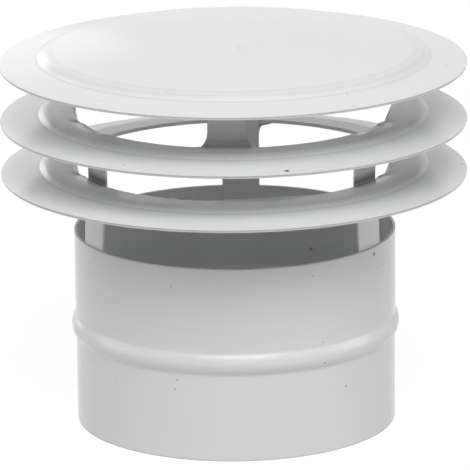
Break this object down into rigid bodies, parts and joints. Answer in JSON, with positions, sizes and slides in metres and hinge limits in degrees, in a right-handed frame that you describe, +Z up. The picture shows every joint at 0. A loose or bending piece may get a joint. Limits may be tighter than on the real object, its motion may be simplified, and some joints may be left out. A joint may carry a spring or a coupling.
{
  "type": "chimney cowl",
  "caption": "White lacquered sheet-metal flue cowl: a beaded round collar carries louvre rings and a shallow domed rain cap on bent legs.",
  "frame": {"origin": "centre of the collar's lower edge", "axes": "+Z up along the collar's axis, towards the cap; -Y is the side seen in the picture"},
  "size_m": [0.159, 0.159, 0.1356],
  "materials": {
    "white_lacquer": "satin white lacquer on aluminium sheet"
  },
  "bodies": {
    "root": {"collar": "white_lacquer", "lower_ring": "white_lacquer", "upper_ring": "white_lacquer", "cap": "white_lacquer"}
  },
  "joints": []
}
